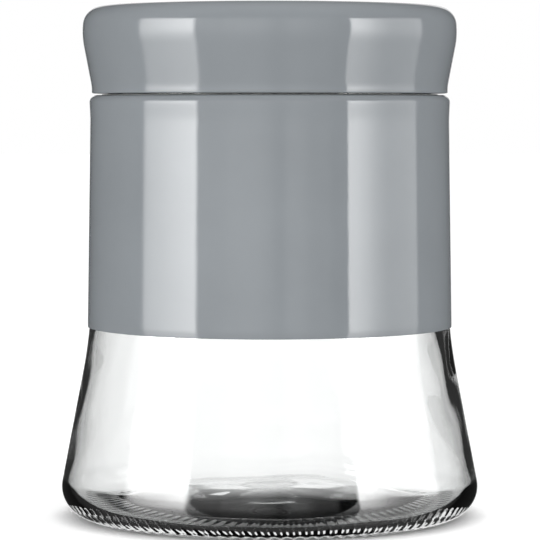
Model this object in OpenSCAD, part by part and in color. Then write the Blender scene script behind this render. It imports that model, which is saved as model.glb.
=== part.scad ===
// Storage jar: a clear glass jar in a painted steel sleeve, with a flared screw lid.
// Millimetres, +Z up. The origin is on the jar's axis, in the plane that its base ring stands on.
// The lid turns on the neck by a right-handed thread, so it rises as it turns anticlockwise from above.

/* [Whole jar] */
// Height of the closed jar, from the table to the top of the lid
jar_h = 128.8; // [127.6:0.1:130]
// Widest radius, at the heel of the glass
heel_r = 52.8; // [52.4:0.1:54]

/* [Glass] */
// Radius of the rounded heel between the wall and the base ring
heel_round = 7.7; // [6.5:0.1:9]
// Lean of the flared wall above the heel, in degrees from upright
flare = 10.9; // [10.4:0.1:11.4]
// Height at which the flared wall starts to turn upright
bend_z = 37; // [36:0.5:40]
// Radius of that turn
bend_round = 119; // [80:1:130]
// Thickness of the wall behind the sleeve
wall_t = 2.1; // [1.6:0.1:3]
// Thickness of the flared wall, just above the heel
flare_t = 1.5; // [1.2:0.1:3]
// Thickness of the base over the base ring
base_t = 6.6; // [4:0.1:8]
// Rise of the inside floor at its centre
floor_rise = 2.6; // [0:0.1:4]
// Height of the hollow under the base
kick_h = 3.2; // [1:0.1:4]
// Radius of the plunger mark in the middle of that hollow
plunger_mark_r = 7.6; // [4:0.1:12]

/* [Sleeve] */
// Thickness of the steel sheet, paint included
steel_t = 0.4; // [0.3:0.05:0.5]
// Height of the sleeve's lower edge
sleeve_bottom_z = 48.1; // [46:0.1:56]
// Height of the sleeve's top face
sleeve_top_z = 106.5; // [105.5:0.1:107]
// Draft of the sleeve and of the glass behind it, in degrees
sleeve_draft = 0.9; // [0.5:0.05:1]
// Radius of the sleeve's rounded shoulder
sleeve_round = 1.8; // [1:0.1:2.5]
// How far the shoulder's rolled edge swells past the straight side
sleeve_swell = 0.25; // [0:0.01:0.3]

/* [Neck] */
// Radius of the mouth
mouth_r = 38; // [34:0.1:38.5]
// Radius of the neck between its threads
neck_r = 41; // [40.5:0.1:41.2]
// Height of the rim above the sleeve's top face
finish_h = 13.8; // [12:0.1:14.5]

/* [Lid] */
// Widest radius of the lid, at its belly
lid_r = 47.2; // [47:0.1:48.5]
// Lean of the lid's flared side, in degrees from upright
lid_flare = 10.8; // [8:0.1:12]
// Radius of the edge round the flat top
lid_edge_round = 4.9; // [3:0.1:6]
// Radius of the belly between that edge and the flared side
lid_belly_round = 20; // [14:1:26]
// Lean of the belly where the edge takes over, in degrees inwards
lid_belly_turn = 5.7; // [0:0.1:10]
// Gap between the lid's lip and the sleeve
lid_gap = 0.35; // [0.2:0.05:0.6]

/* [Liner and seal] */
// Thickness of the moulded liner's roof and plug ring
liner_t = 1.3; // [1:0.1:1.6]
// Thickness of the seal ring
seal_t = 1.6; // [1:0.1:2]
// How far the liner's plug ring reaches below the seal
plug_h = 2.6; // [1:0.1:5]
// Snap lugs that hold the liner over the lid's folded hem
snap_lugs = 8; // [4:1:12]
// Grip ribs between the liner and the hem
grip_ribs = 24; // [12:1:36]
// Spokes on top of the liner, which stay the lid's flat top
spokes = 8; // [4:1:12]

/* [Hidden] */

$fn = 128;
arc_steps = 10;
curve_steps = 16;

// Running gaps
face_gap = 0.05;  // between faces that meet flat
side_gap = 0.15;  // between the seal and the sides of its groove
thread_depth = 1.2;
thread_play = 0.4;

// Glass: the heel, the leaning wall, the turn and the drafted wall behind the sleeve
heel_centre = [heel_r - heel_round, heel_round];
wall_foot = heel_centre + heel_round * [cos(flare), sin(flare)];
bend_foot = [wall_foot.x - (bend_z - wall_foot.y) * tan(flare), bend_z];
bend_centre = bend_foot + bend_round * [cos(flare), sin(flare)];
bend_head = bend_centre - bend_round * [cos(sleeve_draft), sin(sleeve_draft)];
shoulder_z = sleeve_top_z - steel_t - 2 * face_gap;
neck_fillet = 0.6;
shoulder_round = min(2.4, wall_r(shoulder_z - 3) - neck_r - neck_fillet - 0.1);
rim_z = sleeve_top_z + finish_h;
rim_round = 1;

// Base: the ring that it stands on, the hollow inside the ring and the floor above it
ring_w = 4;
ring_inner_r = heel_centre.x - ring_w;
plunger_mark_h = 0.5;
inner_heel_round = 6.5;
inner_heel_z = base_t + inner_heel_round;
inner_wall_foot_z = inner_heel_z + inner_heel_round * sin(flare);
inner_heel_r = wall_r(inner_wall_foot_z) - flare_t - inner_heel_round * cos(flare);

// Inside shoulder: two arcs that swing from the mouth out to the wall
swing_round = 4;
swing_top_z = shoulder_z + 1;
swing_out = wall_r(shoulder_z - 5) - wall_t - mouth_r;
swing_angle = acos(1 - swing_out / (2 * swing_round));
swing_foot_z = swing_top_z - 2 * swing_round * sin(swing_angle);

// Transfer bead under the thread
bead_r = 0.9;
bead_z = sleeve_top_z + 2.2;

// Sleeve: its lower edge closes on the glass, and its side keeps the glass's draft
sleeve_bottom_r = wall_r(sleeve_bottom_z) + face_gap + steel_t;
sleeve_hole_r = neck_r + thread_depth + 0.3;
sleeve_crest_z = sleeve_top_z - sleeve_round;
swell_h = 3;
sleeve_edge_r = sleeve_side_r(sleeve_crest_z) + sleeve_swell;

// Sealant between the sleeve's hole and the neck
sealant_h = 0.7;

// Lid shell
lid_bottom_z = sleeve_top_z + lid_gap;
lid_edge_centre = [
    lid_r - lid_belly_round + (lid_belly_round - lid_edge_round) * cos(lid_belly_turn),
    jar_h - lid_edge_round
];
lid_belly_z = lid_edge_centre.y - (lid_belly_round - lid_edge_round) * sin(lid_belly_turn);
lid_side_foot = [
    lid_r - lid_belly_round * (1 - cos(lid_flare)),
    lid_belly_z - lid_belly_round * sin(lid_flare)
];
lid_lip_z = lid_bottom_z + 1.1;
lid_lip_r = lid_side_foot.x - (lid_side_foot.y - lid_lip_z) * tan(lid_flare);
hem_h = 2.2;
hem_gap = 0.05;
hem_inner_r = lid_lip_r - 2 * steel_t - hem_gap;

// Seal and liner
seal_z = rim_z + face_gap;
roof_z = seal_z + seal_t + face_gap;
skirt_inner_r = neck_r + thread_depth + thread_play;
skirt_r = hem_inner_r - face_gap;
skirt_bottom_z = lid_bottom_z + 0.7;
plug_r = mouth_r - 0.7;
plug_tip = 0.5;
roof_top_z = roof_z + liner_t;
stay_top_z = jar_h - steel_t - face_gap;
stay_t = 1.2;
hub_r = 12;
rim_wall_r = 40;
lug_h = 2.4;
lug_reach = 0.6;
lug_angle = 14;
lug_z = lid_bottom_z + hem_h + 0.1;
rib_r = 0.25;
rib_w = 0.9;

// Points on an arc, from one angle to another.
function arc(centre, r, from, to, steps = arc_steps) = [
    for (i = [0:steps])
        let (a = from + (to - from) * i / steps)
        centre + r * [cos(a), sin(a)]
];

// A list without its first point, for an outline that already ends there.
function after_first(points) = [for (i = [1:len(points) - 1]) points[i]];

// Outer radius of the glass wall at height z, above the heel.
function wall_r(z) =
    z < bend_foot.y ? wall_foot.x - (z - wall_foot.y) * tan(flare)
    : z < bend_head.y ? bend_centre.x - sqrt(pow(bend_round, 2) - pow(z - bend_centre.y, 2))
    : bend_head.x - (z - bend_head.y) * tan(sleeve_draft);

// Thickness of the wall at height z: thin at the inside heel, full from the bend's head up.
function wall_t_at(z) = let (
    climb = max(0, min(1, (z - inner_wall_foot_z) / (bend_head.y - inner_wall_foot_z)))
) flare_t + (wall_t - flare_t) * climb;

// A smooth rise from 0 at radius r_edge to h on the axis.
function dome(r, r_edge, h) = h * (1 + cos(180 * r / r_edge)) / 2;

// Outer radius of the sleeve's straight side at height z.
function sleeve_side_r(z) = sleeve_bottom_r - (z - sleeve_bottom_z) * tan(sleeve_draft);

// Solid of revolution about Z from an outline of [radius, height] points.
module turned(outline) {
    rotate_extrude() polygon(outline);
}

// Copies its children evenly round Z.
module around(count) {
    for (i = [0:count - 1])
        rotate([0, 0, 360 * i / count]) children();
}

// Underside and outside of the glass, from the axis to the rim.
function glass_outside() = let (
    shoulder_start = shoulder_z - shoulder_round * (1 - sin(sleeve_draft)),
    shoulder_centre = [
        wall_r(shoulder_start) - shoulder_round * cos(sleeve_draft),
        shoulder_z - shoulder_round
    ],
    kick_z = dome(plunger_mark_r, ring_inner_r, kick_h)
) concat(
    [[0, kick_z + plunger_mark_h], [plunger_mark_r - 0.4, kick_z + plunger_mark_h]],
    [for (i = [0:curve_steps])
        let (r = plunger_mark_r + (ring_inner_r - plunger_mark_r) * i / curve_steps)
        [r, dome(r, ring_inner_r, kick_h)]],
    arc(heel_centre, heel_round, -90, flare),
    after_first(arc(bend_centre, bend_round, 180 + flare, 180 + sleeve_draft)),
    arc(shoulder_centre, shoulder_round, sleeve_draft, 90),
    arc([neck_r + neck_fillet, shoulder_z + neck_fillet], neck_fillet, 270, 180, 4),
    arc([neck_r, bead_z], bead_r, -90, 90),
    arc([neck_r - rim_round, rim_z - rim_round], rim_round, 0, 90, 6)
);

// Inside of the glass, from the rim down to the middle of the floor.
function glass_inside() = concat(
    arc([mouth_r + rim_round, rim_z - rim_round], rim_round, 90, 180, 6),
    arc([mouth_r + swing_round, swing_top_z], swing_round, 180, 180 + swing_angle),
    after_first(arc([mouth_r + swing_out - swing_round, swing_foot_z], swing_round, swing_angle, 0)),
    [for (i = [0:curve_steps])
        let (z = bend_head.y + (inner_wall_foot_z - bend_head.y) * i / curve_steps)
        [wall_r(z) - wall_t_at(z), z]],
    after_first(arc([inner_heel_r, inner_heel_z], inner_heel_round, flare, -90)),
    [for (i = [1:curve_steps])
        let (r = inner_heel_r * (1 - i / curve_steps))
        [r, base_t + dome(r, inner_heel_r, floor_rise)]]
);

// The glass jar: heavy base, leaning wall, shoulder and neck.
module glass_jar() {
    color([0.86, 0.93, 0.92, 0.35])
        turned(concat(glass_outside(), glass_inside()));
}

// Outline of one face of the sleeve, from its lower edge to its hole.
function sleeve_face(inset) = concat(
    [
        [sleeve_bottom_r - inset, sleeve_bottom_z],
        [sleeve_side_r(sleeve_crest_z - swell_h) - inset, sleeve_crest_z - swell_h]
    ],
    arc([sleeve_edge_r - sleeve_round, sleeve_crest_z], sleeve_round - inset, 0, 90, 8),
    [[sleeve_hole_r, sleeve_top_z - inset]]
);

// The sleeve: a drawn tube with an in-turned top, sat on the glass shoulder.
module sleeve() {
    outer = sleeve_face(0);
    inner = sleeve_face(steel_t);
    color([0.58, 0.61, 0.63])
        turned(concat(outer, [for (i = [len(inner) - 1:-1:0]) inner[i]]));
}

// The clear bead that closes the joint between the sleeve's hole and the neck.
module sleeve_sealant() {
    inner_r = neck_r + neck_fillet + face_gap;
    outer_r = sleeve_hole_r - face_gap;
    foot_z = shoulder_z + face_gap;
    color([0.9, 0.9, 0.86])
        turned(concat(
            [[inner_r, foot_z], [outer_r, foot_z]],
            arc([outer_r - 0.3, foot_z + sealant_h - 0.3], 0.3, 0, 90, 4),
            [[inner_r, foot_z + sealant_h]]
        ));
}

// The seal: a flat silicone ring with a rounded inner lip.
module seal_ring() {
    inner_r = plug_r + side_gap;
    outer_r = skirt_inner_r - side_gap;
    lip = seal_t / 2;
    color([0.93, 0.93, 0.9])
        turned(concat(
            [[outer_r, seal_z], [outer_r, seal_z + seal_t]],
            arc([inner_r + lip, seal_z + lip], lip, 90, 270, 8)
        ));
}

// Liner: roof, threaded skirt and the plug ring that reaches into the mouth.
function liner_outline() = [
    [0, roof_z],
    [plug_r - liner_t, roof_z],
    [plug_r - liner_t, roof_z - seal_t - plug_h],
    [plug_r - plug_tip, roof_z - seal_t - plug_h],
    [plug_r, roof_z - seal_t - plug_h + plug_tip * 3],
    [plug_r, roof_z],
    [skirt_inner_r, roof_z],
    [skirt_inner_r, skirt_bottom_z + plug_tip],
    [skirt_inner_r + plug_tip, skirt_bottom_z],
    [skirt_r, skirt_bottom_z],
    [skirt_r, roof_top_z - plug_tip],
    [skirt_r - plug_tip, roof_top_z],
    [0, roof_top_z]
];

// Ring wall and spokes that stand on the liner's roof and stay the lid's flat top.
module liner_stays() {
    stay_h = stay_top_z - roof_top_z;
    for (r = [hub_r, rim_wall_r])
        translate([0, 0, roof_top_z - 0.2])
            difference() {
                cylinder(r = r, h = stay_h + 0.2);
                translate([0, 0, -1]) cylinder(r = r - stay_t, h = stay_h + 3);
            }
    around(spokes)
        translate([hub_r - stay_t / 2, -stay_t / 2, roof_top_z - 0.2])
            cube([rim_wall_r - hub_r, stay_t, stay_h]);
}

// One snap lug: a ramp on top for the way in, a flat foot that catches on the hem.
module snap_lug() {
    rotate([0, 0, -lug_angle / 2])
        rotate_extrude(angle = lug_angle)
            polygon([
                [skirt_r - 0.3, lug_z],
                [skirt_r + lug_reach, lug_z],
                [skirt_r + lug_reach, lug_z + 0.6],
                [skirt_r - 0.3, lug_z + lug_h]
            ]);
}

// One grip rib, between the skirt and the inner ply of the hem.
module grip_rib() {
    translate([skirt_r - 0.3, -rib_w / 2, skirt_bottom_z + 0.3])
        cube([0.3 + hem_inner_r - skirt_r - face_gap, rib_w, lug_z - skirt_bottom_z - 0.6]);
}

// The liner: the moulded cap that carries the thread and snaps into the steel shell.
module lid_liner() {
    color([0.92, 0.93, 0.93])
        union() {
            turned(liner_outline());
            liner_stays();
            around(snap_lugs) snap_lug();
            around(grip_ribs) grip_rib();
        }
}

// Outline of one face of the lid shell, from the middle of its top to its lip.
function lid_face(inset) = concat(
    [[0, jar_h - inset]],
    arc(lid_edge_centre, lid_edge_round - inset, 90, lid_belly_turn),
    after_first(arc([lid_r - lid_belly_round, lid_belly_z], lid_belly_round - inset,
        lid_belly_turn, -lid_flare)),
    [[lid_lip_r - inset, lid_lip_z + inset * tan(lid_flare / 2)]]
);

// The lid shell: a steel cup with a flared side and a hem folded up inside its lip.
module lid_shell() {
    outer = lid_face(0);
    inner = lid_face(steel_t);
    hem_z = lid_bottom_z + hem_h;
    color([0.58, 0.61, 0.63])
        turned(concat(
            outer,
            arc([lid_lip_r - steel_t, lid_bottom_z + steel_t], steel_t, 0, -90, 4),
            arc([hem_inner_r + steel_t, lid_bottom_z + steel_t], steel_t, -90, -180, 4),
            [
                [hem_inner_r, hem_z],
                [hem_inner_r + steel_t, hem_z],
                [hem_inner_r + steel_t, lid_bottom_z + 2 * steel_t],
                [lid_lip_r - steel_t, lid_bottom_z + 2 * steel_t]
            ],
            [for (i = [len(inner) - 1:-1:0]) inner[i]]
        ));
}

glass_jar();
sleeve();
sleeve_sealant();
seal_ring();
lid_liner();
lid_shell();
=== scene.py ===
"""Looks of a glass kitchen jar with a painted steel sleeve and a screw lid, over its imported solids.

Sizes are in millimetres and angles in degrees until a mesh is built. +Z is the jar's axis, and the
camera looks along +Y, so the front of the jar is at -Y.
"""
import logging
import math
from dataclasses import dataclass
from enum import Enum

import bpy
import numpy as np
from numpy.typing import NDArray
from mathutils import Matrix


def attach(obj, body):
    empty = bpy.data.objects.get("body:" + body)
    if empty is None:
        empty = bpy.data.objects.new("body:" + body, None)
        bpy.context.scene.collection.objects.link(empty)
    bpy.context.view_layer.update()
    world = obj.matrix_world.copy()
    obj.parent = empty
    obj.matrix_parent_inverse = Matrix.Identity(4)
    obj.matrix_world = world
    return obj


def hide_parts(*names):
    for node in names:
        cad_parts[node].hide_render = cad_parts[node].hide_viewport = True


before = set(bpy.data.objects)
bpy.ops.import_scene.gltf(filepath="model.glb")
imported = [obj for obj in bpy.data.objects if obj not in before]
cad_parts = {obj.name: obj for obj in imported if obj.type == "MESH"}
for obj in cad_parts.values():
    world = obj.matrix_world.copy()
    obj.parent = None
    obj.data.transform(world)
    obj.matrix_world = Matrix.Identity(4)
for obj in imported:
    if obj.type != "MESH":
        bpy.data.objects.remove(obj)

Array = NDArray[np.float64]
Socket = bpy.types.NodeSocket
Colour = tuple[float, float, float]

LOG = logging.getLogger("jar")
MM = 0.001
THREAD_LEAD = 5.08
THREAD_FOOT_Z = 112.3
THREAD_FADE = 0.05


class Body(Enum):
    """The rigid bodies that pieces ride on."""

    JAR = "jar"
    SEAL = "seal"
    LID = "lid"


# Outlines.


def arc(centre: tuple[float, float], radius: float, start: float, stop: float, count: int) -> Array:
    """Points on a circle: the centre plus the radius times (cos a, sin a), with a going evenly.

    Args:
        centre: Radius and height of the circle's centre.
        radius: The circle's radius.
        start: First angle in degrees; 0 points outwards and 90 upwards.
        stop: Last angle.
        count: Number of points, both ends included.

    Returns:
        Points of shape (count, 2), each a radius and a height.
    """
    angle = np.radians(np.linspace(start, stop, count))
    return np.array(centre) + radius * np.stack([np.cos(angle), np.sin(angle)], axis=1)


def line(start: tuple[float, float], stop: tuple[float, float], count: int) -> Array:
    """Points evenly from start to stop.

    Args:
        start: First radius and height.
        stop: Last radius and height.
        count: Number of points, both ends included.

    Returns:
        Points of shape (count, 2).
    """
    return np.linspace(np.array(start, float), np.array(stop, float), count)


def outline_normals(outline: Array) -> Array:
    """Unit normals to the right of an outline's direction: its tangent (r, z) turned to (z, -r).

    Args:
        outline: Points of shape (n, 2).

    Returns:
        Normals of shape (n, 2).
    """
    tangent = np.gradient(outline, axis=0)
    normal = np.stack([tangent[:, 1], -tangent[:, 0]], axis=1)
    return normal / np.maximum(np.linalg.norm(normal, axis=1, keepdims=True), 1e-9)


def smooth_step(value: Array, low: float, high: float) -> Array:
    """Cubic rise 3t^2 - 2t^3, with t the value's share of the way from low to high, held to 0..1."""
    t = np.clip((value - low) / (high - low), 0.0, 1.0)
    return t * t * (3.0 - 2.0 * t)


# Meshes.


def around(columns: int) -> Array:
    """Even angles round the axis, in radians, without the repeated last one."""
    return np.arange(columns) * (2.0 * np.pi / columns)


def revolved(outline: Array, columns: int, relief: Array | None = None) -> Array:
    """Turns an outline about Z: x = r cos a, y = r sin a, z = z, after a push along its normals.

    Args:
        outline: Points of shape (rows, 2).
        columns: Number of points round the axis.
        relief: Push along the outline's normals, of shape (rows, columns), or None.

    Returns:
        Points of shape (rows, columns, 3), in millimetres.
    """
    angle = around(columns)[None, :]
    radius = np.repeat(outline[:, :1], columns, axis=1)
    height = np.repeat(outline[:, 1:], columns, axis=1)
    if relief is not None:
        normal = outline_normals(outline)
        radius = radius + normal[:, :1] * relief
        height = height + normal[:, 1:] * relief
    return np.stack([radius * np.cos(angle), radius * np.sin(angle), height], axis=2)


def strip_faces(first: Array, second: Array) -> Array:
    """Faces between two closed rings of point numbers, whose counts divide each other.

    Each face takes one step of the coarser ring and the matching steps of the finer one.

    Args:
        first: Point numbers of the ring that the outline passes first.
        second: Point numbers of the next ring.

    Returns:
        Point numbers of shape (faces, corners), turned outwards.
    """
    steps = min(len(first), len(second))
    near = first.reshape(steps, -1)
    far = second.reshape(steps, -1)
    near = np.concatenate([near, np.roll(near[:, :1], -1, axis=0)], axis=1)
    far = np.concatenate([far, np.roll(far[:, :1], -1, axis=0)], axis=1)
    return np.concatenate([near, far[:, ::-1]], axis=1)


def pole_faces(pole: int, ring: Array, first: bool) -> Array:
    """Triangles from a point on the axis to a ring.

    Args:
        pole: Number of the point on the axis.
        ring: Point numbers of the ring.
        first: True where the outline starts at the pole, False where it ends there.

    Returns:
        Point numbers of shape (faces, 3), turned outwards.
    """
    onward = np.roll(ring, -1)
    centre = np.full_like(ring, pole)
    return np.stack([centre, onward, ring] if first else [ring, onward, centre], axis=1)


def mesh_piece(name: str, points: Array, faces: list[Array]) -> bpy.types.Object:
    """Makes a smooth-shaded object from whole arrays.

    Args:
        name: Name of the piece.
        points: Points of shape (n, 3), in millimetres.
        faces: Arrays of point numbers, one array for each number of corners.

    Returns:
        The new object, at the origin, with its place in its mesh.
    """
    mesh = bpy.data.meshes.new(name)
    corners = np.concatenate([f.ravel() for f in faces]).astype(np.int32)
    totals = np.concatenate([np.full(len(f), f.shape[1]) for f in faces])
    starts = np.concatenate([[0], np.cumsum(totals)[:-1]]).astype(np.int32)
    mesh.vertices.add(len(points))
    mesh.loops.add(len(corners))
    mesh.polygons.add(len(totals))
    mesh.vertices.foreach_set("co", (points * MM).astype(np.float32).ravel())
    mesh.loops.foreach_set("vertex_index", corners)
    mesh.polygons.foreach_set("loop_start", starts)
    mesh.polygons.foreach_set("use_smooth", np.ones(len(totals), dtype=bool))
    mesh.update(calc_edges=True)
    mesh.validate()
    piece = bpy.data.objects.new(name, mesh)
    bpy.context.scene.collection.objects.link(piece)
    return piece


def turned_piece(name: str, blocks: list[Array]) -> bpy.types.Object:
    """Joins blocks of rings into one closed surface, with a pole at each end on the axis.

    Args:
        name: Name of the piece.
        blocks: Arrays of shape (rows, columns, 3), in outline order; the first ring of the first
            block and the last ring of the last block lie on the axis.

    Returns:
        The new object.
    """
    rings: list[Array] = [ring for block in blocks for ring in block][1:-1]
    poles = np.stack([blocks[0][0].mean(axis=0), blocks[-1][-1].mean(axis=0)])
    sizes = np.array([len(ring) for ring in rings])
    starts = np.concatenate([[0], np.cumsum(sizes)])
    numbers = [np.arange(starts[k], starts[k + 1]) for k in range(len(rings))]
    by_corners: dict[int, list[Array]] = {}
    for near, far in zip(numbers[:-1], numbers[1:]):
        faces = strip_faces(near, far)
        by_corners.setdefault(faces.shape[1], []).append(faces)
    by_corners.setdefault(3, []).append(pole_faces(int(starts[-1]), numbers[0], True))
    by_corners[3].append(pole_faces(int(starts[-1]) + 1, numbers[-1], False))
    return mesh_piece(
        name, np.concatenate([*rings, poles]), [np.concatenate(v) for v in by_corners.values()]
    )


def ring_piece(name: str, outline: Array, columns: int, relief: Array | None = None) -> bpy.types.Object:
    """Turns a closed outline that stays off the axis into a ring.

    Args:
        name: Name of the piece.
        outline: Points of shape (n, 2), anticlockwise, the last not repeating the first.
        columns: Number of points round the axis.
        relief: Push along the outline's normals, of shape (n, columns), or None.

    Returns:
        The new object.
    """
    points = revolved(outline, columns, relief)
    numbers = np.arange(points.shape[0] * columns).reshape(points.shape[0], columns)
    faces = [strip_faces(numbers[k], numbers[(k + 1) % len(numbers)]) for k in range(len(numbers))]
    return mesh_piece(name, points.reshape(-1, 3), [np.concatenate(faces)])


# Node sheets.


class NodeSheet:
    """Makes and wires the nodes of one material or world."""

    def __init__(self, tree: bpy.types.NodeTree) -> None:
        """Starts from an empty tree."""
        tree.nodes.clear()
        self.tree = tree

    def add(self, kind: str, inputs: dict[str | int, object] | None = None,
            **settings: object) -> bpy.types.Node:
        """Adds a node.

        Args:
            kind: Blender's name of the node's type.
            inputs: Values or sockets for its inputs, by name or number.
            **settings: The node's own properties.

        Returns:
            The new node.
        """
        node = self.tree.nodes.new(kind)
        for key, value in settings.items():
            setattr(node, key, value)
        for key, value in (inputs or {}).items():
            if isinstance(value, bpy.types.NodeSocket):
                self.tree.links.new(value, node.inputs[key])
            else:
                node.inputs[key].default_value = value
        return node

    def math(self, operation: str, *values: Socket | float, clamp: bool = False) -> Socket:
        """Adds a Math node and returns its result."""
        node = self.add("ShaderNodeMath", dict(enumerate(values)), operation=operation, use_clamp=clamp)
        return node.outputs[0]

    def ramp(self, value: Socket, low: float, high: float, start: float, stop: float,
             smooth: bool = False) -> Socket:
        """Maps low..high to start..stop, held to the ends.

        Args:
            value: What is mapped.
            low: Value that gives start.
            high: Value that gives stop.
            start: Result at low.
            stop: Result at high.
            smooth: True for a cubic rise, False for a straight one.

        Returns:
            The mapped value.
        """
        kind = "SMOOTHSTEP" if smooth else "LINEAR"
        inputs = {0: value, 1: low, 2: high, 3: start, 4: stop}
        return self.add("ShaderNodeMapRange", inputs, interpolation_type=kind).outputs[0]

    def blend(self, factor: Socket | float, first: object, second: object) -> Socket:
        """Mixes two colours by a factor and returns the result."""
        node = self.add("ShaderNodeMix", data_type="RGBA")
        for key, kind, value in (("Factor", "VALUE", factor), ("A", "RGBA", first), ("B", "RGBA", second)):
            socket = next(s for s in node.inputs if s.name == key and s.type == kind)
            if isinstance(value, bpy.types.NodeSocket):
                self.tree.links.new(value, socket)
            else:
                socket.default_value = value
        return next(s for s in node.outputs if s.type == "RGBA")

    def noise(self, scale: float, detail: float = 2.0, roughness: float = 0.5) -> Socket:
        """Noise on Object coordinates, of a given number of patches a metre.

        Args:
            scale: Patches in a metre.
            detail: Number of finer layers.
            roughness: Weight of the finer layers.

        Returns:
            The noise, about 0.5 on average.
        """
        place = self.add("ShaderNodeTexCoord").outputs["Object"]
        inputs = {"Vector": place, "Scale": scale, "Detail": detail, "Roughness": roughness}
        return self.add("ShaderNodeTexNoise", inputs).outputs[0]

    def curve(self, value: Socket, points: list[tuple[float, float]]) -> Socket:
        """Maps a value by straight lines between points, held to the ends.

        Args:
            value: What is mapped.
            points: Pairs of a value and its result, by rising value.

        Returns:
            The mapped value.
        """
        low, high = points[0][0], points[-1][0]
        most = max(result for _, result in points)
        ramp = self.add("ShaderNodeValToRGB", {0: self.ramp(value, low, high, 0.0, 1.0)})
        stops = ramp.color_ramp.elements
        for index, (place, result) in enumerate(points):
            at = (place - low) / (high - low)
            stop = stops[index] if index < 2 else stops.new(at)
            stop.position = at
            stop.color = opaque((result / most,) * 3)
        return self.math("MULTIPLY", ramp.outputs[0], most)

    def bump(self, height: Socket, depth: float) -> Socket:
        """Turns a height of 0..1 into a normal, with its depth in metres at full height."""
        inputs = {"Strength": 1.0, "Distance": depth, "Height": height}
        return self.add("ShaderNodeBump", inputs).outputs[0]


def opaque(colour: Colour) -> tuple[float, float, float, float]:
    """A colour with full alpha."""
    return (*colour, 1.0)


def new_material(name: str) -> tuple[bpy.types.Material, NodeSheet]:
    """Makes an empty node material and its sheet."""
    material = bpy.data.materials.new(name)
    material.use_nodes = True
    return material, NodeSheet(material.node_tree)


# Finishes.


@dataclass(frozen=True)
class Enamel:
    """Gloss stoved enamel on sheet steel: faint mottling, orange peel and a few dust nibs."""

    name: str
    colour: Colour
    roughness: float = 0.055
    peel_depth: float = 0.000007
    peel_scale: float = 520.0
    mottle: float = 0.03

    def material(self) -> bpy.types.Material:
        """Builds the enamel.

        Returns:
            The material.
        """
        material, sheet = new_material(self.name)
        cloud = sheet.noise(55.0, 4.0)
        dark = opaque(tuple(c * (1.0 - self.mottle) for c in self.colour))
        pale = opaque(tuple(c * (1.0 + self.mottle) for c in self.colour))
        colour = sheet.blend(sheet.ramp(cloud, 0.3, 0.7, 0.0, 1.0), dark, pale)
        peel = sheet.noise(self.peel_scale, 1.0)
        nibs = sheet.ramp(sheet.noise(2400.0, 0.0), 0.83, 0.9, 0.0, 1.0, smooth=True)
        height = sheet.math("ADD", peel, sheet.math("MULTIPLY", nibs, 1.5))
        rough = sheet.ramp(sheet.noise(160.0, 3.0), 0.3, 0.7, self.roughness * 0.85, self.roughness * 1.15)
        shader = sheet.add("ShaderNodeBsdfPrincipled", {
            "Base Color": colour,
            "Roughness": rough,
            "IOR": 1.5,
            "Normal": sheet.bump(height, self.peel_depth),
        })
        sheet.add("ShaderNodeOutputMaterial", {"Surface": shader.outputs[0]})
        return material


@dataclass(frozen=True)
class ClearGlass:
    """Clear pressed soda-lime glass with a very slight green-grey body and a matt mark on its base."""

    name: str
    colour: Colour = (0.985, 0.992, 0.99)
    index: float = 1.52
    ripple_depth: float = 0.00003
    ripple_scale: float = 70.0
    matt_r: float = 0.0066
    matt_edge: float = 0.0012
    matt_ragged: float = 0.0016
    matt_top: float = 0.013
    matt_roughness: float = 0.22

    def mark(self, sheet: NodeSheet) -> Socket:
        """1 on the matt round mark in the middle of the base, 0 elsewhere, with a ragged edge.

        Args:
            sheet: The glass's sheet.

        Returns:
            The mark's share.
        """
        place = sheet.add("ShaderNodeTexCoord").outputs["Object"]
        x, y, z = sheet.add("ShaderNodeSeparateXYZ", {0: place}).outputs
        square = sheet.math("MULTIPLY_ADD", x, x, sheet.math("MULTIPLY", y, y))
        from_axis = sheet.math("SQRT", square)
        ragged = sheet.math("MULTIPLY_ADD", sheet.noise(600.0, 2.0), self.matt_ragged, from_axis)
        disc = sheet.ramp(ragged, self.matt_r, self.matt_r + self.matt_edge, 1.0, 0.0, smooth=True)
        return sheet.math("MULTIPLY", disc, sheet.math("LESS_THAN", z, self.matt_top))

    def material(self) -> bpy.types.Material:
        """Builds the glass.

        Returns:
            The material.
        """
        material, sheet = new_material(self.name)
        cloud = sheet.noise(30.0, 2.0)
        pale = opaque(tuple(min(1.0, c + 0.008) for c in self.colour))
        colour = sheet.blend(cloud, opaque(self.colour), pale)
        polished = sheet.ramp(sheet.noise(900.0, 2.0), 0.62, 0.8, 0.0, 0.03)
        rough = sheet.math("MULTIPLY_ADD", self.mark(sheet), self.matt_roughness, polished)
        shader = sheet.add("ShaderNodeBsdfPrincipled", {
            "Base Color": colour,
            "Roughness": rough,
            "IOR": self.index,
            "Transmission Weight": 1.0,
            "Normal": sheet.bump(sheet.noise(self.ripple_scale, 2.0), self.ripple_depth),
        })
        sheet.add("ShaderNodeOutputMaterial", {"Surface": shader.outputs[0]})
        return material


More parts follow.
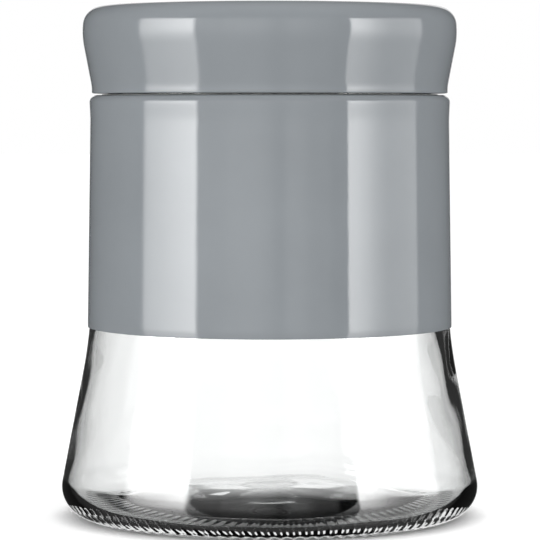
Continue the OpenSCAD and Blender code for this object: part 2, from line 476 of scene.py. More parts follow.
@dataclass(frozen=True)
class Moulding:
    """A moulded polymer: satin skin with a faint flow pattern, and some light let in."""

    name: str
    colour: Colour
    roughness: float
    grain_scale: float = 1500.0
    grain_depth: float = 0.000008
    glow: float = 0.0

    def material(self) -> bpy.types.Material:
        """Builds the polymer.

        Returns:
            The material.
        """
        material, sheet = new_material(self.name)
        flow = sheet.noise(40.0, 3.0)
        dark = opaque(tuple(c * 0.965 for c in self.colour))
        colour = sheet.blend(sheet.ramp(flow, 0.3, 0.7, 0.0, 1.0), dark, opaque(self.colour))
        rough = sheet.ramp(sheet.noise(300.0, 2.0), 0.3, 0.7, self.roughness * 0.9, self.roughness * 1.1)
        shader = sheet.add("ShaderNodeBsdfPrincipled", {
            "Base Color": colour,
            "Roughness": rough,
            "IOR": 1.49,
            "Subsurface Weight": self.glow,
            "Subsurface Radius": (0.002, 0.002, 0.002),
            "Normal": sheet.bump(sheet.noise(self.grain_scale, 1.0), self.grain_depth),
        })
        sheet.add("ShaderNodeOutputMaterial", {"Surface": shader.outputs[0]})
        return material


def dress(piece: bpy.types.Object, material: bpy.types.Material) -> None:
    """Gives a piece one material in place of all that it has."""
    piece.data.materials.clear()
    piece.data.materials.append(material)


def dress_node(node: str, material: bpy.types.Material) -> None:
    """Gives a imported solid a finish, without touching its mesh's shape."""
    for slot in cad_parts[node].material_slots:
        slot.material = material


# The glass jar.


@dataclass
class GlassJar:
    """The glass: base with its stippled ring, flared wall, shoulder and threaded neck."""

    heel_r: float = 52.8
    heel_round: float = 7.7
    flare: float = 10.9
    bend_z: float = 37.0
    bend_round: float = 119.0
    draft: float = 0.9
    shoulder_z: float = 106.0
    shoulder_round: float = 2.4
    neck_fillet: float = 0.6
    neck_r: float = 41.0
    mouth_r: float = 38.0
    rim_z: float = 120.3
    rim_round: float = 1.0
    bead_r: float = 0.9
    bead_z: float = 108.7
    wall_t: float = 2.9
    flare_t: float = 1.6
    base_t: float = 2.5
    floor_rise: float = 6.6
    floor_power: float = 4.0
    kick_h: float = 1.4
    kick_power: float = 5.0
    mark_r: float = 6.8
    mark_h: float = 0.15
    ring_w: float = 7.0
    inner_heel_round: float = 6.2
    swing_round: float = 4.0
    thread_turns: float = 1.15
    thread_h: float = 1.15
    thread_w: float = 1.0
    knurls: int = 96
    knurl_h: float = 0.5
    knurl_middle_r: float = 44.0
    knurl_slant: float = 0.05
    knurl_sharpness: float = 1.2
    knurl_fade_r: tuple[float, float] = (47.2, 49.4)
    columns: int = 192
    fine_columns: int = 768
    waviness: float = 0.06
    uneven: float = 0.5

    def __post_init__(self) -> None:
        """Works out where the wall's arcs meet, as tangents."""
        lean, upright = math.radians(self.flare), math.radians(self.draft)
        self.heel = (self.heel_r - self.heel_round, self.heel_round)
        foot_r = self.heel[0] + self.heel_round * math.cos(lean)
        foot_z = self.heel[1] + self.heel_round * math.sin(lean)
        bend_r = foot_r - (self.bend_z - foot_z) * math.tan(lean)
        self.wall_foot = (foot_r, foot_z)
        self.bend = (bend_r + self.bend_round * math.cos(lean),
                     self.bend_z + self.bend_round * math.sin(lean))
        self.bend_head = (
            self.bend[0] - self.bend_round * math.cos(upright),
            self.bend[1] - self.bend_round * math.sin(upright),
        )
        self.ring_inner_r = self.heel[0] - self.ring_w
        self.inner_heel_z = self.base_t + self.inner_heel_round
        self.inner_foot_z = self.inner_heel_z + self.inner_heel_round * math.sin(lean)
        inner_foot_r = float(self.wall_r(np.array([self.inner_foot_z]))[0]) - self.flare_t
        self.inner_heel_r = inner_foot_r - self.inner_heel_round * math.cos(lean)

    def wall_r(self, height: Array) -> Array:
        """Outer radius of the wall: a leaning line, then an arc, then a drafted line.

        Args:
            height: Heights above the heel.

        Returns:
            Radii at those heights.
        """
        leaning = self.wall_foot[0] - (height - self.wall_foot[1]) * math.tan(math.radians(self.flare))
        reach = np.sqrt(np.maximum(self.bend_round**2 - (height - self.bend[1]) ** 2, 0.0))
        drafted = self.bend_head[0] - (height - self.bend_head[1]) * math.tan(math.radians(self.draft))
        return np.where(height < self.bend_z, leaning,
                        np.where(height < self.bend_head[1], self.bend[0] - reach, drafted))

    def wall_t_at(self, height: Array) -> Array:
        """Thickness of the wall: an even climb from the inside heel to the bend's head."""
        climb = np.clip((height - self.inner_foot_z) / (self.bend_head[1] - self.inner_foot_z), 0.0, 1.0)
        return self.flare_t + (self.wall_t - self.flare_t) * climb

    def dome(self, radius: Array, edge: float, height: float, power: float) -> Array:
        """Height times (1 - (r / edge)^power)^2: full on the axis, level and 0 at the edge radius."""
        return height * (1.0 - np.clip(radius / edge, 0.0, 1.0) ** power) ** 2

    def hollow(self, radius: Array) -> Array:
        """Height of the hollow under the base at a radius."""
        return self.dome(radius, self.ring_inner_r, self.kick_h, self.kick_power)

    def underside(self) -> Array:
        """Outline of the hollow under the base, from the axis to the base ring's inner side.

        Returns:
            Points of shape (n, 2).
        """
        top = float(self.hollow(np.array([self.mark_r]))[0]) + self.mark_h
        radius = np.linspace(self.mark_r, self.ring_inner_r - 1.0, 22)
        mark = line((0.0, top), (self.mark_r - 0.5, top), 6)
        return np.concatenate([mark, np.stack([radius, self.hollow(radius)], axis=1)])

    def ring_outline(self) -> Array:
        """Outline of the stippled base ring, from the hollow out to half-way up the heel.

        Returns:
            Points of shape (n, 2).
        """
        edge = self.ring_inner_r
        radius = np.linspace(edge - 0.8, edge, 3)
        inside = np.stack([radius, self.hollow(radius)], axis=1)
        flat = line((edge, 0.0), (self.heel[0], 0.0), 12)
        return np.concatenate([inside, flat[1:], arc(self.heel, self.heel_round, -90, -40, 14)[1:]])

    def knurl_relief(self, outline: Array) -> Array:
        """Hollows between the knurls: depth times (1 - ridge), faded out at the ring's two sides.

        A ridge is a raised cosine that runs nearly straight out from the axis, with a slight slant.

        Args:
            outline: Points of the ring's outline, of shape (rows, 2).

        Returns:
            Push along the normals, of shape (rows, fine columns).
        """
        radius = outline[:, :1]
        slant = (radius - self.knurl_middle_r) * self.knurl_slant
        turn = around(self.fine_columns)[None, :] * self.knurls / (2.0 * np.pi) + slant
        ridge = (0.5 + 0.5 * np.cos(2.0 * np.pi * turn)) ** self.knurl_sharpness
        inner = smooth_step(radius, self.ring_inner_r - 0.4, self.ring_inner_r + 1.2)
        fade = inner * (1.0 - smooth_step(radius, *self.knurl_fade_r))
        return -self.knurl_h * fade * (1.0 - ridge)

    def outside(self) -> Array:
        """Outline of the outside, from half-way up the heel to the foot of the neck.

        Returns:
            Points of shape (n, 2).
        """
        start = self.shoulder_z - self.shoulder_round * (1.0 - math.sin(math.radians(self.draft)))
        shoulder_r = float(self.wall_r(np.array([start]))[0])
        centre = (shoulder_r - self.shoulder_round * math.cos(math.radians(self.draft)),
                  self.shoulder_z - self.shoulder_round)
        wall_z = np.concatenate([np.linspace(self.wall_foot[1], self.bend_z, 14)[1:],
                                 np.linspace(self.bend_z, self.bend_head[1], 14)[1:],
                                 np.linspace(self.bend_head[1], start, 12)[1:-1]])
        wall = np.stack([self.wall_r(wall_z), wall_z], axis=1)
        fillet = (self.neck_r + self.neck_fillet, self.shoulder_z + self.neck_fillet)
        return np.concatenate([
            arc(self.heel, self.heel_round, -36, self.flare, 16),
            wall,
            arc(centre, self.shoulder_round, self.draft, 90, 10),
            arc(fillet, self.neck_fillet, 270, 180, 5),
        ])

    def neck_outline(self) -> Array:
        """Outline of the neck with its transfer bead, up to the rim's rounding.

        Returns:
            Points of shape (n, 2).
        """
        above = line((self.neck_r, self.bead_z + self.bead_r + 0.2),
                     (self.neck_r, self.rim_z - self.rim_round), 46)
        return np.concatenate([arc((self.neck_r, self.bead_z), self.bead_r, -90, 90, 11), above])

    def thread_relief(self, outline: Array) -> Array:
        """A right-handed ridge: height times the root of 1 - (dz / width)^2, at each turn's own height.

        Its crest is at the start height plus the lead times the turns made, and it fades at both ends.

        Args:
            outline: Points of the neck's outline, of shape (rows, 2).

        Returns:
            Push along the normals, of shape (rows, columns).
        """
        height = outline[:, 1:]
        relief = np.zeros((len(outline), self.columns))
        for turn in range(int(self.thread_turns) + 1):
            turns = around(self.columns)[None, :] / (2.0 * np.pi) + turn
            away = (height - THREAD_FOOT_Z - THREAD_LEAD * turns) / self.thread_w
            last = self.thread_turns
            ends = smooth_step(turns, 0.0, THREAD_FADE) * (1.0 - smooth_step(turns, last - THREAD_FADE, last))
            relief = np.maximum(relief, self.thread_h * ends * np.sqrt(np.clip(1.0 - away**2, 0.0, 1.0)))
        return relief

    def inside(self) -> Array:
        """Outline of the rim and the inside, from the rim's outer rounding to the floor's middle.

        Returns:
            Points of shape (n, 2).
        """
        rim = self.rim_z - self.rim_round
        swing_top = self.shoulder_z + 1.0
        out = float(self.wall_r(np.array([self.shoulder_z - 5.0]))[0]) - self.wall_t - self.mouth_r
        swing = math.degrees(math.acos(1.0 - out / (2.0 * self.swing_round)))
        swing_foot = swing_top - 2.0 * self.swing_round * math.sin(math.radians(swing))
        wall_z = np.linspace(swing_foot - 1.0, self.inner_foot_z, 60)
        wall = np.stack([self.wall_r(wall_z) - self.wall_t_at(wall_z), wall_z], axis=1)
        floor_r = np.linspace(self.inner_heel_r, 0.0, 36)
        rise = self.dome(floor_r, self.inner_heel_r, self.floor_rise, self.floor_power)
        floor = np.stack([floor_r, self.base_t + rise], axis=1)
        return np.concatenate([
            arc((self.neck_r - self.rim_round, rim), self.rim_round, 12, 90, 7),
            arc((self.mouth_r + self.rim_round, rim), self.rim_round, 90, 180, 8),
            line((self.mouth_r, rim - 2.0), (self.mouth_r, swing_top + 1.0), 4),
            arc((self.mouth_r + self.swing_round, swing_top), self.swing_round, 180, 180 + swing, 9),
            arc((self.mouth_r + out - self.swing_round, swing_foot), self.swing_round, swing, 0, 9)[1:],
            wall,
            arc((self.inner_heel_r, self.inner_heel_z), self.inner_heel_round, self.flare, -90, 22)[1:],
            floor[1:],
        ])

    def inside_relief(self, outline: Array) -> Array:
        """The inside's slow waves and its slight shift: crossed sines, and a cosine round the wall.

        The waves fade at the axis and the mouth. The shift leaves the wall thicker at +X than at -X.

        Args:
            outline: Points of the inside's outline, of shape (rows, 2).

        Returns:
            Push along the normals, of shape (rows, columns).
        """
        angle = around(self.columns)[None, :]
        radius, height = outline[:, :1], outline[:, 1:]
        steps = np.linalg.norm(np.diff(outline, axis=0), axis=1)
        along = np.concatenate([[0.0], np.cumsum(steps)])[:, None]
        waves = (np.sin(3.0 * angle + along * 0.09) + 0.7 * np.sin(5.0 * angle - along * 0.16 + 1.3)
                 + 0.5 * np.sin(11.0 * angle + along * 0.31 + 0.4))
        fade = smooth_step(radius, 2.0, 14.0) * (1.0 - smooth_step(height, 96.0, 104.0))
        shift = smooth_step(height, 10.0, 34.0) * (1.0 - smooth_step(height, 80.0, 100.0)) * np.cos(angle)
        return self.waviness * fade * waves + self.uneven * shift

    def build(self, glass: bpy.types.Material) -> list[bpy.types.Object]:
        """Builds the glass and puts it in place of its solid.

        Args:
            glass: The glass's finish.

        Returns:
            The new pieces.
        """
        ring, neck, inside = self.ring_outline(), self.neck_outline(), self.inside()
        piece = turned_piece("jar_glass", [
            revolved(self.underside(), self.columns),
            revolved(ring, self.fine_columns, self.knurl_relief(ring)),
            revolved(self.outside(), self.columns),
            revolved(neck, self.columns, self.thread_relief(neck)),
            revolved(inside, self.columns, self.inside_relief(inside)),
        ])
        dress(piece, glass)
        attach(piece, Body.JAR.value)
        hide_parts("glass_jar")
        return [piece]


# The sleeve.


@dataclass
class Sleeve:
    """The painted steel sleeve and the sealant that fixes it to the neck."""

    bottom_r: float = 46.15
    bottom_z: float = 48.1
    top_z: float = 106.5
    draft: float = 0.9
    round: float = 1.8
    swell: float = 0.25
    steel_t: float = 0.4
    hole_r: float = 42.5
    edge_round: float = 0.12
    bead_inner_r: float = 41.65
    bead_foot_z: float = 106.05
    bead_h: float = 0.68
    bead_round: float = 0.28
    bead_columns: int = 160
    columns: int = 320

    def side_r(self, height: float) -> float:
        """Outer radius of the straight side at a height."""
        return self.bottom_r - (height - self.bottom_z) * math.tan(math.radians(self.draft))

    def outline(self) -> Array:
        """Closed outline of the steel: up the outside, over the shoulder, back down the inside.

        Returns:
            Points of shape (n, 2).
        """
        crest = self.top_z - self.round
        centre = (self.side_r(crest) + self.swell - self.round, crest)
        swell_z = np.linspace(crest - 5.0, crest, 9)
        lift = self.swell * smooth_step(swell_z, crest - 5.0, crest + 1.0) / float(
            smooth_step(np.array([crest]), crest - 5.0, crest + 1.0)[0])
        sides = np.array([self.side_r(z) for z in swell_z])
        outer = np.stack([sides + lift, swell_z], axis=1)
        e, t = self.edge_round, self.steel_t
        low_r, low_z = self.bottom_r, self.bottom_z
        return np.concatenate([
            arc((low_r - t + e, low_z + e), e, 180, 270, 4),
            arc((low_r - e, low_z + e), e, 270, 360, 4),
            line((self.side_r(low_z + 2.0), low_z + 2.0), (self.side_r(crest - 5.6), crest - 5.6), 16),
            outer,
            arc(centre, self.round, 0, 90, 14)[1:],
            arc((self.hole_r + e, self.top_z - e), e, 90, 180, 4),
            arc((self.hole_r + e, self.top_z - t + e), e, 180, 270, 4),
            arc(centre, self.round - t, 90, 0, 10),
            (outer - np.array([t, 0.0]))[::-1][1:],
            line((self.side_r(crest - 5.6) - t, crest - 5.6),
                 (self.side_r(low_z + 2.0) - t, low_z + 2.0), 8),
        ])

    def sealant_outline(self) -> Array:
        """Closed outline of the sealant bead, a low crowned strip between neck and hole.

        Returns:
            Points of shape (n, 2).
        """
        inner, outer, foot, round_r = self.bead_inner_r, self.hole_r - 0.05, self.bead_foot_z, self.bead_round
        return np.concatenate([
            line((inner, foot), (outer, foot), 3),
            arc((outer - round_r, foot + self.bead_h - round_r), round_r, 0, 90, 5),
            line((outer - 0.35, foot + self.bead_h), (inner + 0.08, foot + self.bead_h), 3),
            line((inner, foot + 0.6), (inner, foot + 0.2), 2),
        ])

    def build(self, paint: bpy.types.Material, sealant: bpy.types.Material) -> list[bpy.types.Object]:
        """Builds the sleeve and its sealant in place of their solids.

        Args:
            paint: The sleeve's enamel.
            sealant: The bead's finish.

        Returns:
            The new pieces.
        """
        sleeve = ring_piece("sleeve_steel", self.outline(), self.columns)
        dress(sleeve, paint)
        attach(sleeve, Body.JAR.value)
        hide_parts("sleeve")
        outline = self.sealant_outline()
        angle = around(self.bead_columns)[None, :]
        ripple = -0.02 * (1.0 + np.sin(13.0 * angle) * np.sin(7.0 * angle + 1.0)) * (outline[:, 1:] > 106.3)
        bead = ring_piece("sealant_bead", outline, self.bead_columns, ripple)
        dress(bead, sealant)
        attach(bead, Body.JAR.value)
        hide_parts("sleeve_sealant")
        return [sleeve, bead]


# The lid.


@dataclass
class Lid:
    """The screw lid: a hemmed steel shell, its moulded liner with the thread, and the seal."""

    top_z: float = 128.8
    belly_r: float = 47.2
    edge_round: float = 4.9
    belly_round: float = 20.0
    belly_turn: float = 5.7
    flare: float = 10.8
    bottom_z: float = 106.85
    steel_t: float = 0.4
    lip_sweep_h: float = 1.6
    lip_sweep_round: float = 9.0
    hem_h: float = 2.2
    hem_gap: float = 0.05
    skirt_inner_r: float = 42.6
    thread_drop: float = 2.3
    thread_from: float = 0.17
    thread_turns: float = 1.15
    thread_reach: float = 1.2
    thread_w: float = 0.95
    seal_r: tuple[float, float] = (37.45, 42.45)
    seal_z: tuple[float, float] = (120.35, 121.95)
    seal_rib_r: tuple[float, float] = (39.0, 40.3)
    seal_rib_h: float = 0.12
    seal_rib_w: float = 0.25
    seal_columns: int = 240
    columns: int = 320

    def __post_init__(self) -> None:
        """Works out the tangent points of the shell's edge, belly and side."""
        turn, lean = math.radians(self.belly_turn), math.radians(self.flare)
        step = self.belly_round - self.edge_round
        self.edge = (self.belly_r - self.belly_round + step * math.cos(turn), self.top_z - self.edge_round)
        self.belly = (self.belly_r - self.belly_round, self.edge[1] - step * math.sin(turn))
        foot_r = self.belly[0] + self.belly_round * math.cos(lean)
        foot_z = self.belly[1] - self.belly_round * math.sin(lean)
        self.lip_z = self.bottom_z + 1.1
        self.lip_r = foot_r - (foot_z - self.lip_z) * math.tan(lean) + float(self.lip_sweep(self.lip_z))

    def lip_sweep(self, height: Array | float) -> Array:
        """How far the side swings out over the lip: (h - z)^2 / 2R below the height h, R its round."""
        return np.maximum(self.lip_z + self.lip_sweep_h - height, 0.0) ** 2 / (2.0 * self.lip_sweep_round)

    def face(self, inset: float, count: int) -> Array:
        """Outline of one face of the steel, from the lip up to the middle of the top.

        Args:
            inset: Depth of the face below the outside.
            count: Points on the edge's arc; the belly gets as many.

        Returns:
            Points of shape (n, 2).
        """
        lip_z = self.lip_z + inset * math.tan(math.radians(self.flare / 2))
        lip = (self.lip_r - float(self.lip_sweep(self.lip_z)) - inset, lip_z)
        belly = arc(self.belly, self.belly_round - inset, -self.flare, self.belly_turn, count)
        edge = arc(self.edge, self.edge_round - inset, self.belly_turn, 90, count)
        side = line(lip, tuple(belly[0]), 22)
        side[:, 0] += self.lip_sweep(side[:, 1])
        radius = edge[-1, 0]
        top = np.array([0.97, 0.8, 0.55, 0.3, 0.1, 0.0])[:, None] * np.array([[radius, 0.0]])
        return np.concatenate([side, belly[1:], edge[1:], top + np.array([[0.0, self.top_z - inset]])])

    def shell_outline(self) -> Array:
        """Outline of the shell: inside from the axis to the lip, the hem, then the outside back.

        Returns:
            Points of shape (n, 2).
        """
        t = self.steel_t
        inner_r = self.lip_r - 2.0 * t - self.hem_gap
        ply = self.bottom_z + self.hem_h
        fold = self.bottom_z + 2.0 * t
        return np.concatenate([
            self.face(t, 14)[::-1],
            np.array([[self.lip_r - t, fold + 0.1]]),
            line((inner_r + t, fold + 0.1), (inner_r + t, ply - 0.1), 3),
            arc((inner_r + t / 2.0, ply - t / 2.0), t / 2.0, 0, 180, 7),
            arc((inner_r + t, self.bottom_z + t), t, 180, 270, 6),
            arc((self.lip_r - t, self.bottom_z + t), t, 270, 360, 6),
            self.face(0.0, 24),
        ])

    def thread_piece(self) -> bpy.types.Object:
        """The liner's ridge: half an ellipse carried along a right-handed helix, closed at both ends.

        At a turn t its middle is at the neck thread's height less the drop, and the ellipse reaches
        from the skirt's wall towards the neck, shrinking to nothing over the last twentieth turn.

        Returns:
            The new object.
        """
        turns = np.linspace(self.thread_from, self.thread_from + self.thread_turns, 150)
        around_it = np.radians(np.linspace(90.0, 270.0, 11))
        last = self.thread_from + self.thread_turns
        size = np.sqrt(smooth_step(turns, self.thread_from - 0.001, self.thread_from + THREAD_FADE)
                       * (1.0 - smooth_step(turns, last - THREAD_FADE, last + 0.001)))[:, None]
        radius = self.skirt_inner_r + 0.05 + self.thread_reach * size * np.cos(around_it)[None, :]
        middle = (THREAD_FOOT_Z - self.thread_drop + THREAD_LEAD * turns)[:, None]
        height = middle + self.thread_w * size * np.sin(around_it)[None, :]
        back = np.full((len(turns), 1), self.skirt_inner_r + 0.35)
        radius = np.concatenate([radius, back, back], axis=1)
        height = np.concatenate([height, height[:, 10:11], height[:, :1]], axis=1)
        angle = (2.0 * np.pi * turns)[:, None]
        points = np.stack([radius * np.cos(angle), radius * np.sin(angle), height], axis=2)
        rows, corners = radius.shape
        numbers = np.arange(rows * corners).reshape(rows, corners)
        near, far = numbers[:-1], numbers[1:]
        walls = np.stack([near, far, np.roll(far, -1, axis=1), np.roll(near, -1, axis=1)], axis=2)
        ends = np.stack([numbers[0], numbers[-1][::-1]])
        return mesh_piece("liner_thread", points.reshape(-1, 3), [walls.reshape(-1, 4), ends])

    def seal_outline(self) -> Array:
        """Closed outline of the seal: a flat ring with a round inner lip and two low pressure ribs.

        Returns:
            Points of shape (n, 2).
        """
        (inner, outer), (low, high) = self.seal_r, self.seal_z
        half = (high - low) / 2.0
        radius = np.linspace(inner + half, outer - 0.2, 36)
        from_ribs = (radius[:, None] - np.array(self.seal_rib_r)) / self.seal_rib_w
        ribs = self.seal_rib_h * np.exp(-(from_ribs**2)).sum(axis=1)
        under = np.stack([radius, low + self.seal_rib_h - ribs], axis=1)
        return np.concatenate([
            under,
            arc((outer - 0.2, low + 0.32), 0.2, -60, 0, 3),
            arc((outer - 0.2, high - 0.2), 0.2, 0, 90, 4),
            line((outer - 0.6, high), (inner + half + 0.2, high), 6),
            arc((inner + half, (low + high) / 2.0 + 0.06), half - 0.06, 90, 262, 12),
        ])

    def build(self, paint: bpy.types.Material, plastic: bpy.types.Material,
              silicone: bpy.types.Material) -> list[bpy.types.Object]:
        """Builds the shell, the liner's thread and the seal, and dresses the liner's solid.

        Args:
            paint: The shell's enamel.
            plastic: The liner's finish.
            silicone: The seal's finish.

        Returns:
            The new pieces.
        """
        shell = turned_piece("lid_steel", [revolved(self.shell_outline(), self.columns)])
        dress(shell, paint)
        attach(shell, Body.LID.value)
        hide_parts("lid_shell")
        thread = self.thread_piece()
        dress(thread, plastic)
        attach(thread, Body.LID.value)
        dress_node("lid_liner", plastic)
        seal = ring_piece("seal_silicone", self.seal_outline(), self.seal_columns)
        dress(seal, silicone)
        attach(seal, Body.SEAL.value)
        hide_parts("seal_ring")
        return [shell, thread, seal]


# The studio.


@dataclass
class Studio:
    """Camera, pale floor and the world's light."""

    distance: float = 0.7554
    eye_z: float = 0.103
    pitch: float = 3.0883
    lens: float = 198.93
    aim_x: float = 0.00005
    dark: float = 0.03
    lift: float = 0.6
    lift_below: float = 0.55
    floor_half: float = 6.0
    sensor_w: float = 36.0
    backdrop_foot: float = -41.0

    def camera(self) -> None:
        """Puts the camera in front of the jar, looking slightly down."""
        data = bpy.data.cameras.new("camera")
        data.lens, data.sensor_width, data.sensor_fit = self.lens, self.sensor_w, "HORIZONTAL"
        data.clip_start, data.clip_end = 0.01, 100.0
        camera = bpy.data.objects.new("camera", data)
        camera.location = (self.aim_x, -self.distance, self.eye_z)
        camera.rotation_euler = (math.radians(90.0 - self.pitch), 0.0, 0.0)
        bpy.context.scene.collection.objects.link(camera)
        bpy.context.scene.camera = camera

    def floor(self) -> None:
        """A wide pale floor: white to the eye and through clear glass, but keeping soft shadows.

        It is lifted to white for the eye alone, with painted shadow where the jar stands: the lift is
        a little less under the jar and none at the base ring, so there the floor shows its rendered
        shadow unlifted and darker. Rays that the glass or the enamel has mirrored pass through it, so
        that they meet the room's light from below.
        """
        corners = np.array([[-1.0, -1.0, 0.0], [1.0, -1.0, 0.0], [1.0, 1.0, 0.0], [-1.0, 1.0, 0.0]])
        points = corners * self.floor_half / MM
        floor = mesh_piece("floor", points, [np.array([[0, 1, 2, 3]])])
        material, sheet = new_material("studio_floor")
        path = sheet.add("ShaderNodeLightPath")
        plain = sheet.math("LESS_THAN", path.outputs["Glossy Depth"], 0.5)
        seen = sheet.math("MAXIMUM", path.outputs["Is Camera Ray"],
                          sheet.math("MULTIPLY", path.outputs["Is Transmission Ray"], plain))
        matt = sheet.add("ShaderNodeBsdfDiffuse", {"Color": (0.8, 0.8, 0.8, 1.0)}).outputs[0]
        place = sheet.add("ShaderNodeTexCoord").outputs["Object"]
        from_axis = sheet.add("ShaderNodeVectorMath", {0: place}, operation="LENGTH").outputs["Value"]
        # Metres from the axis, and the lift there: a painted shadow, less lift under the jar and none at the
        # base ring.
        reach = sheet.curve(from_axis, [
            (0.0, self.lift_below), (0.036, self.lift_below), (0.043, 0.0), (0.047, 0.0),
            (0.056, self.lift)])
        strength = sheet.math("MULTIPLY", seen, reach)
        lift = sheet.add("ShaderNodeEmission", {"Strength": strength}).outputs[0]
        face = sheet.add("ShaderNodeAddShader", {0: matt, 1: lift}).outputs[0]
        below = sheet.add("ShaderNodeNewGeometry").outputs["Backfacing"]
        mirrored = sheet.math("MULTIPLY", sheet.math("SUBTRACT", 1.0, plain),
                              sheet.math("LESS_THAN", path.outputs["Diffuse Depth"], 0.5))
        clear = sheet.add("ShaderNodeBsdfTransparent").outputs[0]
        hidden = sheet.math("MAXIMUM", below, mirrored)
        both = sheet.add("ShaderNodeMixShader", {0: hidden, 1: face, 2: clear}).outputs[0]
        sheet.add("ShaderNodeOutputMaterial", {"Surface": both})
        dress(floor, material)

    def room(self, sheet: NodeSheet, bearing: Socket, rise: Socket) -> Socket:
        """Light of the room in reflections: two tall soft boxes, a pale front wall and a ceiling.

        Bearings are degrees from the camera towards +X, the picture's right, and rises are degrees
        above the horizon. Each soft box is brightest at its edge towards the camera.

        Args:
            sheet: The world's sheet.
            bearing: Bearing of the ray.
            rise: Rise of the ray.

        Returns:
            The room's strength in that direction.
        """
        around_it = sheet.curve(bearing, [
            (-180.0, 0.0), (-88.0, 0.0), (-84.0, 4.6), (-50.0, 10.2), (-47.4, 10.2), (-45.6, 0.78),
            (-28.0, 0.8), (-26.0, 1.1), (-7.0, 1.1), (0.0, 0.7), (5.0, 0.3), (8.0, 0.3), (12.0, 0.85),
            (20.0, 0.85), (26.0, 0.42), (37.0, 0.38), (39.0, 0.0), (49.2, 0.0), (50.8, 8.7), (56.0, 7.9),
            (63.0, 6.1), (69.0, 4.3), (75.0, 3.0), (81.0, 2.35), (104.5, 2.2), (107.5, 0.0), (180.0, 0.0)])
        upright = sheet.curve(rise, [
            (-90.0, 0.0), (-60.0, 0.03), (-45.0, 0.12), (-24.0, 0.36), (-14.0, 0.48), (-8.0, 0.63),
            (-3.0, 0.88), (0.0, 1.0), (4.0, 1.07), (9.0, 1.05), (13.0, 1.0), (16.0, 0.8), (18.0, 0.1),
            (20.0, 0.02), (90.0, 0.02)])
        ceiling = sheet.ramp(rise, 35.0, 80.0, self.dark, 0.5)
        return sheet.math("MULTIPLY_ADD", around_it, upright, ceiling)

    def backdrop(self, sheet: NodeSheet, bearing: Socket, rise: Socket) -> Socket:
        """White backdrop behind the jar, as reflections see it: about 15 degrees to either side.

        Args:
            sheet: The world's sheet.
            bearing: Bearing of the ray.
            rise: Rise of the ray.

        Returns:
            The backdrop's strength in that direction.
        """
        across = sheet.curve(bearing, [
            (-180.0, 1.0), (-172.0, 1.0), (-168.0, 0.0), (165.0, 0.0), (170.0, 1.0), (180.0, 1.0)])
        foot = self.backdrop_foot
        upright = sheet.curve(rise, [
            (-90.0, 0.0), (foot - 6.0, 0.0), (foot, 1.0), (15.0, 1.0), (35.0, 0.0), (90.0, 0.0)])
        return sheet.math("MULTIPLY", across, upright)

    def fill(self, sheet: NodeSheet, bearing: Socket, rise: Socket) -> Socket:
        """Broad light on matt surfaces, over the room's own: most in front, none on the far left.

        Args:
            sheet: The world's sheet.
            bearing: Bearing of the ray.
            rise: Rise of the ray.

        Returns:
            The fill's strength in that direction.
        """
        around_it = sheet.curve(bearing, [
            (-180.0, 0.45), (-150.0, 0.2), (-125.0, 0.0), (-90.0, 0.0), (-60.0, 0.25), (-40.0, 0.5),
            (45.0, 0.5), (95.0, 0.5), (115.0, 0.1), (140.0, 0.5), (180.0, 0.6)])
        return sheet.math("MULTIPLY", around_it, sheet.ramp(rise, -5.0, 5.0, 0.2, 1.0))

    def world(self) -> None:
        """White where the eye looks, also through clear glass; the room and backdrop in reflections.

        Matt surfaces get the room's light and the fill.
        """
        world = bpy.data.worlds.new("studio")
        bpy.context.scene.world = world
        world.use_nodes = True
        sheet = NodeSheet(world.node_tree)
        ray = sheet.add("ShaderNodeTexCoord").outputs["Generated"]
        x, y, z = sheet.add("ShaderNodeSeparateXYZ", {0: ray}).outputs
        bearing = sheet.math("DEGREES", sheet.math("ARCTAN2", x, sheet.math("MULTIPLY", y, -1.0)))
        rise = sheet.math("DEGREES", sheet.math("ARCSINE", z))
        backdrop = self.backdrop(sheet, bearing, rise)
        path = sheet.add("ShaderNodeLightPath").outputs
        bounced = sheet.math("MAXIMUM", path["Is Glossy Ray"], path["Is Transmission Ray"])
        sharp = sheet.math("MULTIPLY", bounced, sheet.math("LESS_THAN", path["Diffuse Depth"], 0.5))
        plain = sheet.math("LESS_THAN", path["Glossy Depth"], 0.5)
        clear = sheet.math("MAXIMUM", path["Is Camera Ray"], sheet.math("MULTIPLY", sharp, plain))
        mirrored = sheet.math("SUBTRACT", sharp, sheet.math("MULTIPLY", sharp, plain))
        matt = sheet.math("SUBTRACT", 1.0, sharp)
        seen = sheet.math("MULTIPLY", backdrop, mirrored)
        lit = sheet.math("MULTIPLY_ADD", self.fill(sheet, bearing, rise), matt, seen)
        other = sheet.math("ADD", self.room(sheet, bearing, rise), lit)
        strength = sheet.math("MULTIPLY_ADD", other, sheet.math("SUBTRACT", 1.0, clear), clear)
        white = opaque((1.0, 1.0, 1.0))
        background = sheet.add("ShaderNodeBackground", {"Color": white, "Strength": strength})
        sheet.add("ShaderNodeOutputWorld", {"Surface": background.outputs[0]})

    def build(self) -> None:
        """Sets up the camera, the floor and the world."""
        self.camera()
        self.floor()
        self.world()
        bpy.context.scene.view_settings.view_transform = "Standard"


def main() -> None:
    """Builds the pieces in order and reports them."""
    logging.basicConfig(level=logging.INFO, format="%(name)s: %(message)s")
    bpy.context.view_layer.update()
    Studio().build()
    grey: Colour = (0.281, 0.303, 0.322)
    glass = ClearGlass("clear_glass").material()
    sleeve_paint = Enamel("sleeve_enamel", grey).material()
    lid_paint = Enamel("lid_enamel", grey).material()
    plastic = Moulding("liner_polypropylene", (0.82, 0.83, 0.82), 0.38).material()
    silicone = Moulding("seal_silicone", (0.8, 0.81, 0.8), 0.5, glow=0.3).material()
    sealant = Moulding("clear_sealant", (0.75, 0.76, 0.74), 0.25, glow=0.3).material()
    pieces = [
        *GlassJar().build(glass),
        *Sleeve().build(sleeve_paint, sealant),
        *Lid().build(lid_paint, plastic, silicone),
    ]
    for piece in pieces:
        LOG.info("%s: %d faces", piece.name, len(piece.data.polygons))


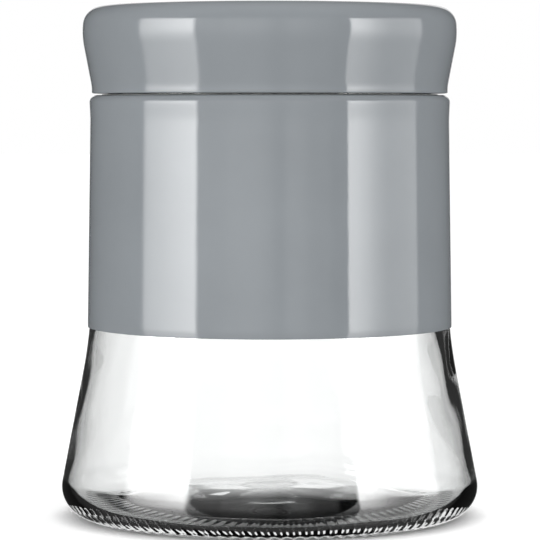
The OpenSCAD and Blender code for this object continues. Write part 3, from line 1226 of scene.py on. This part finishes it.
if __name__ == "__main__":
    main()
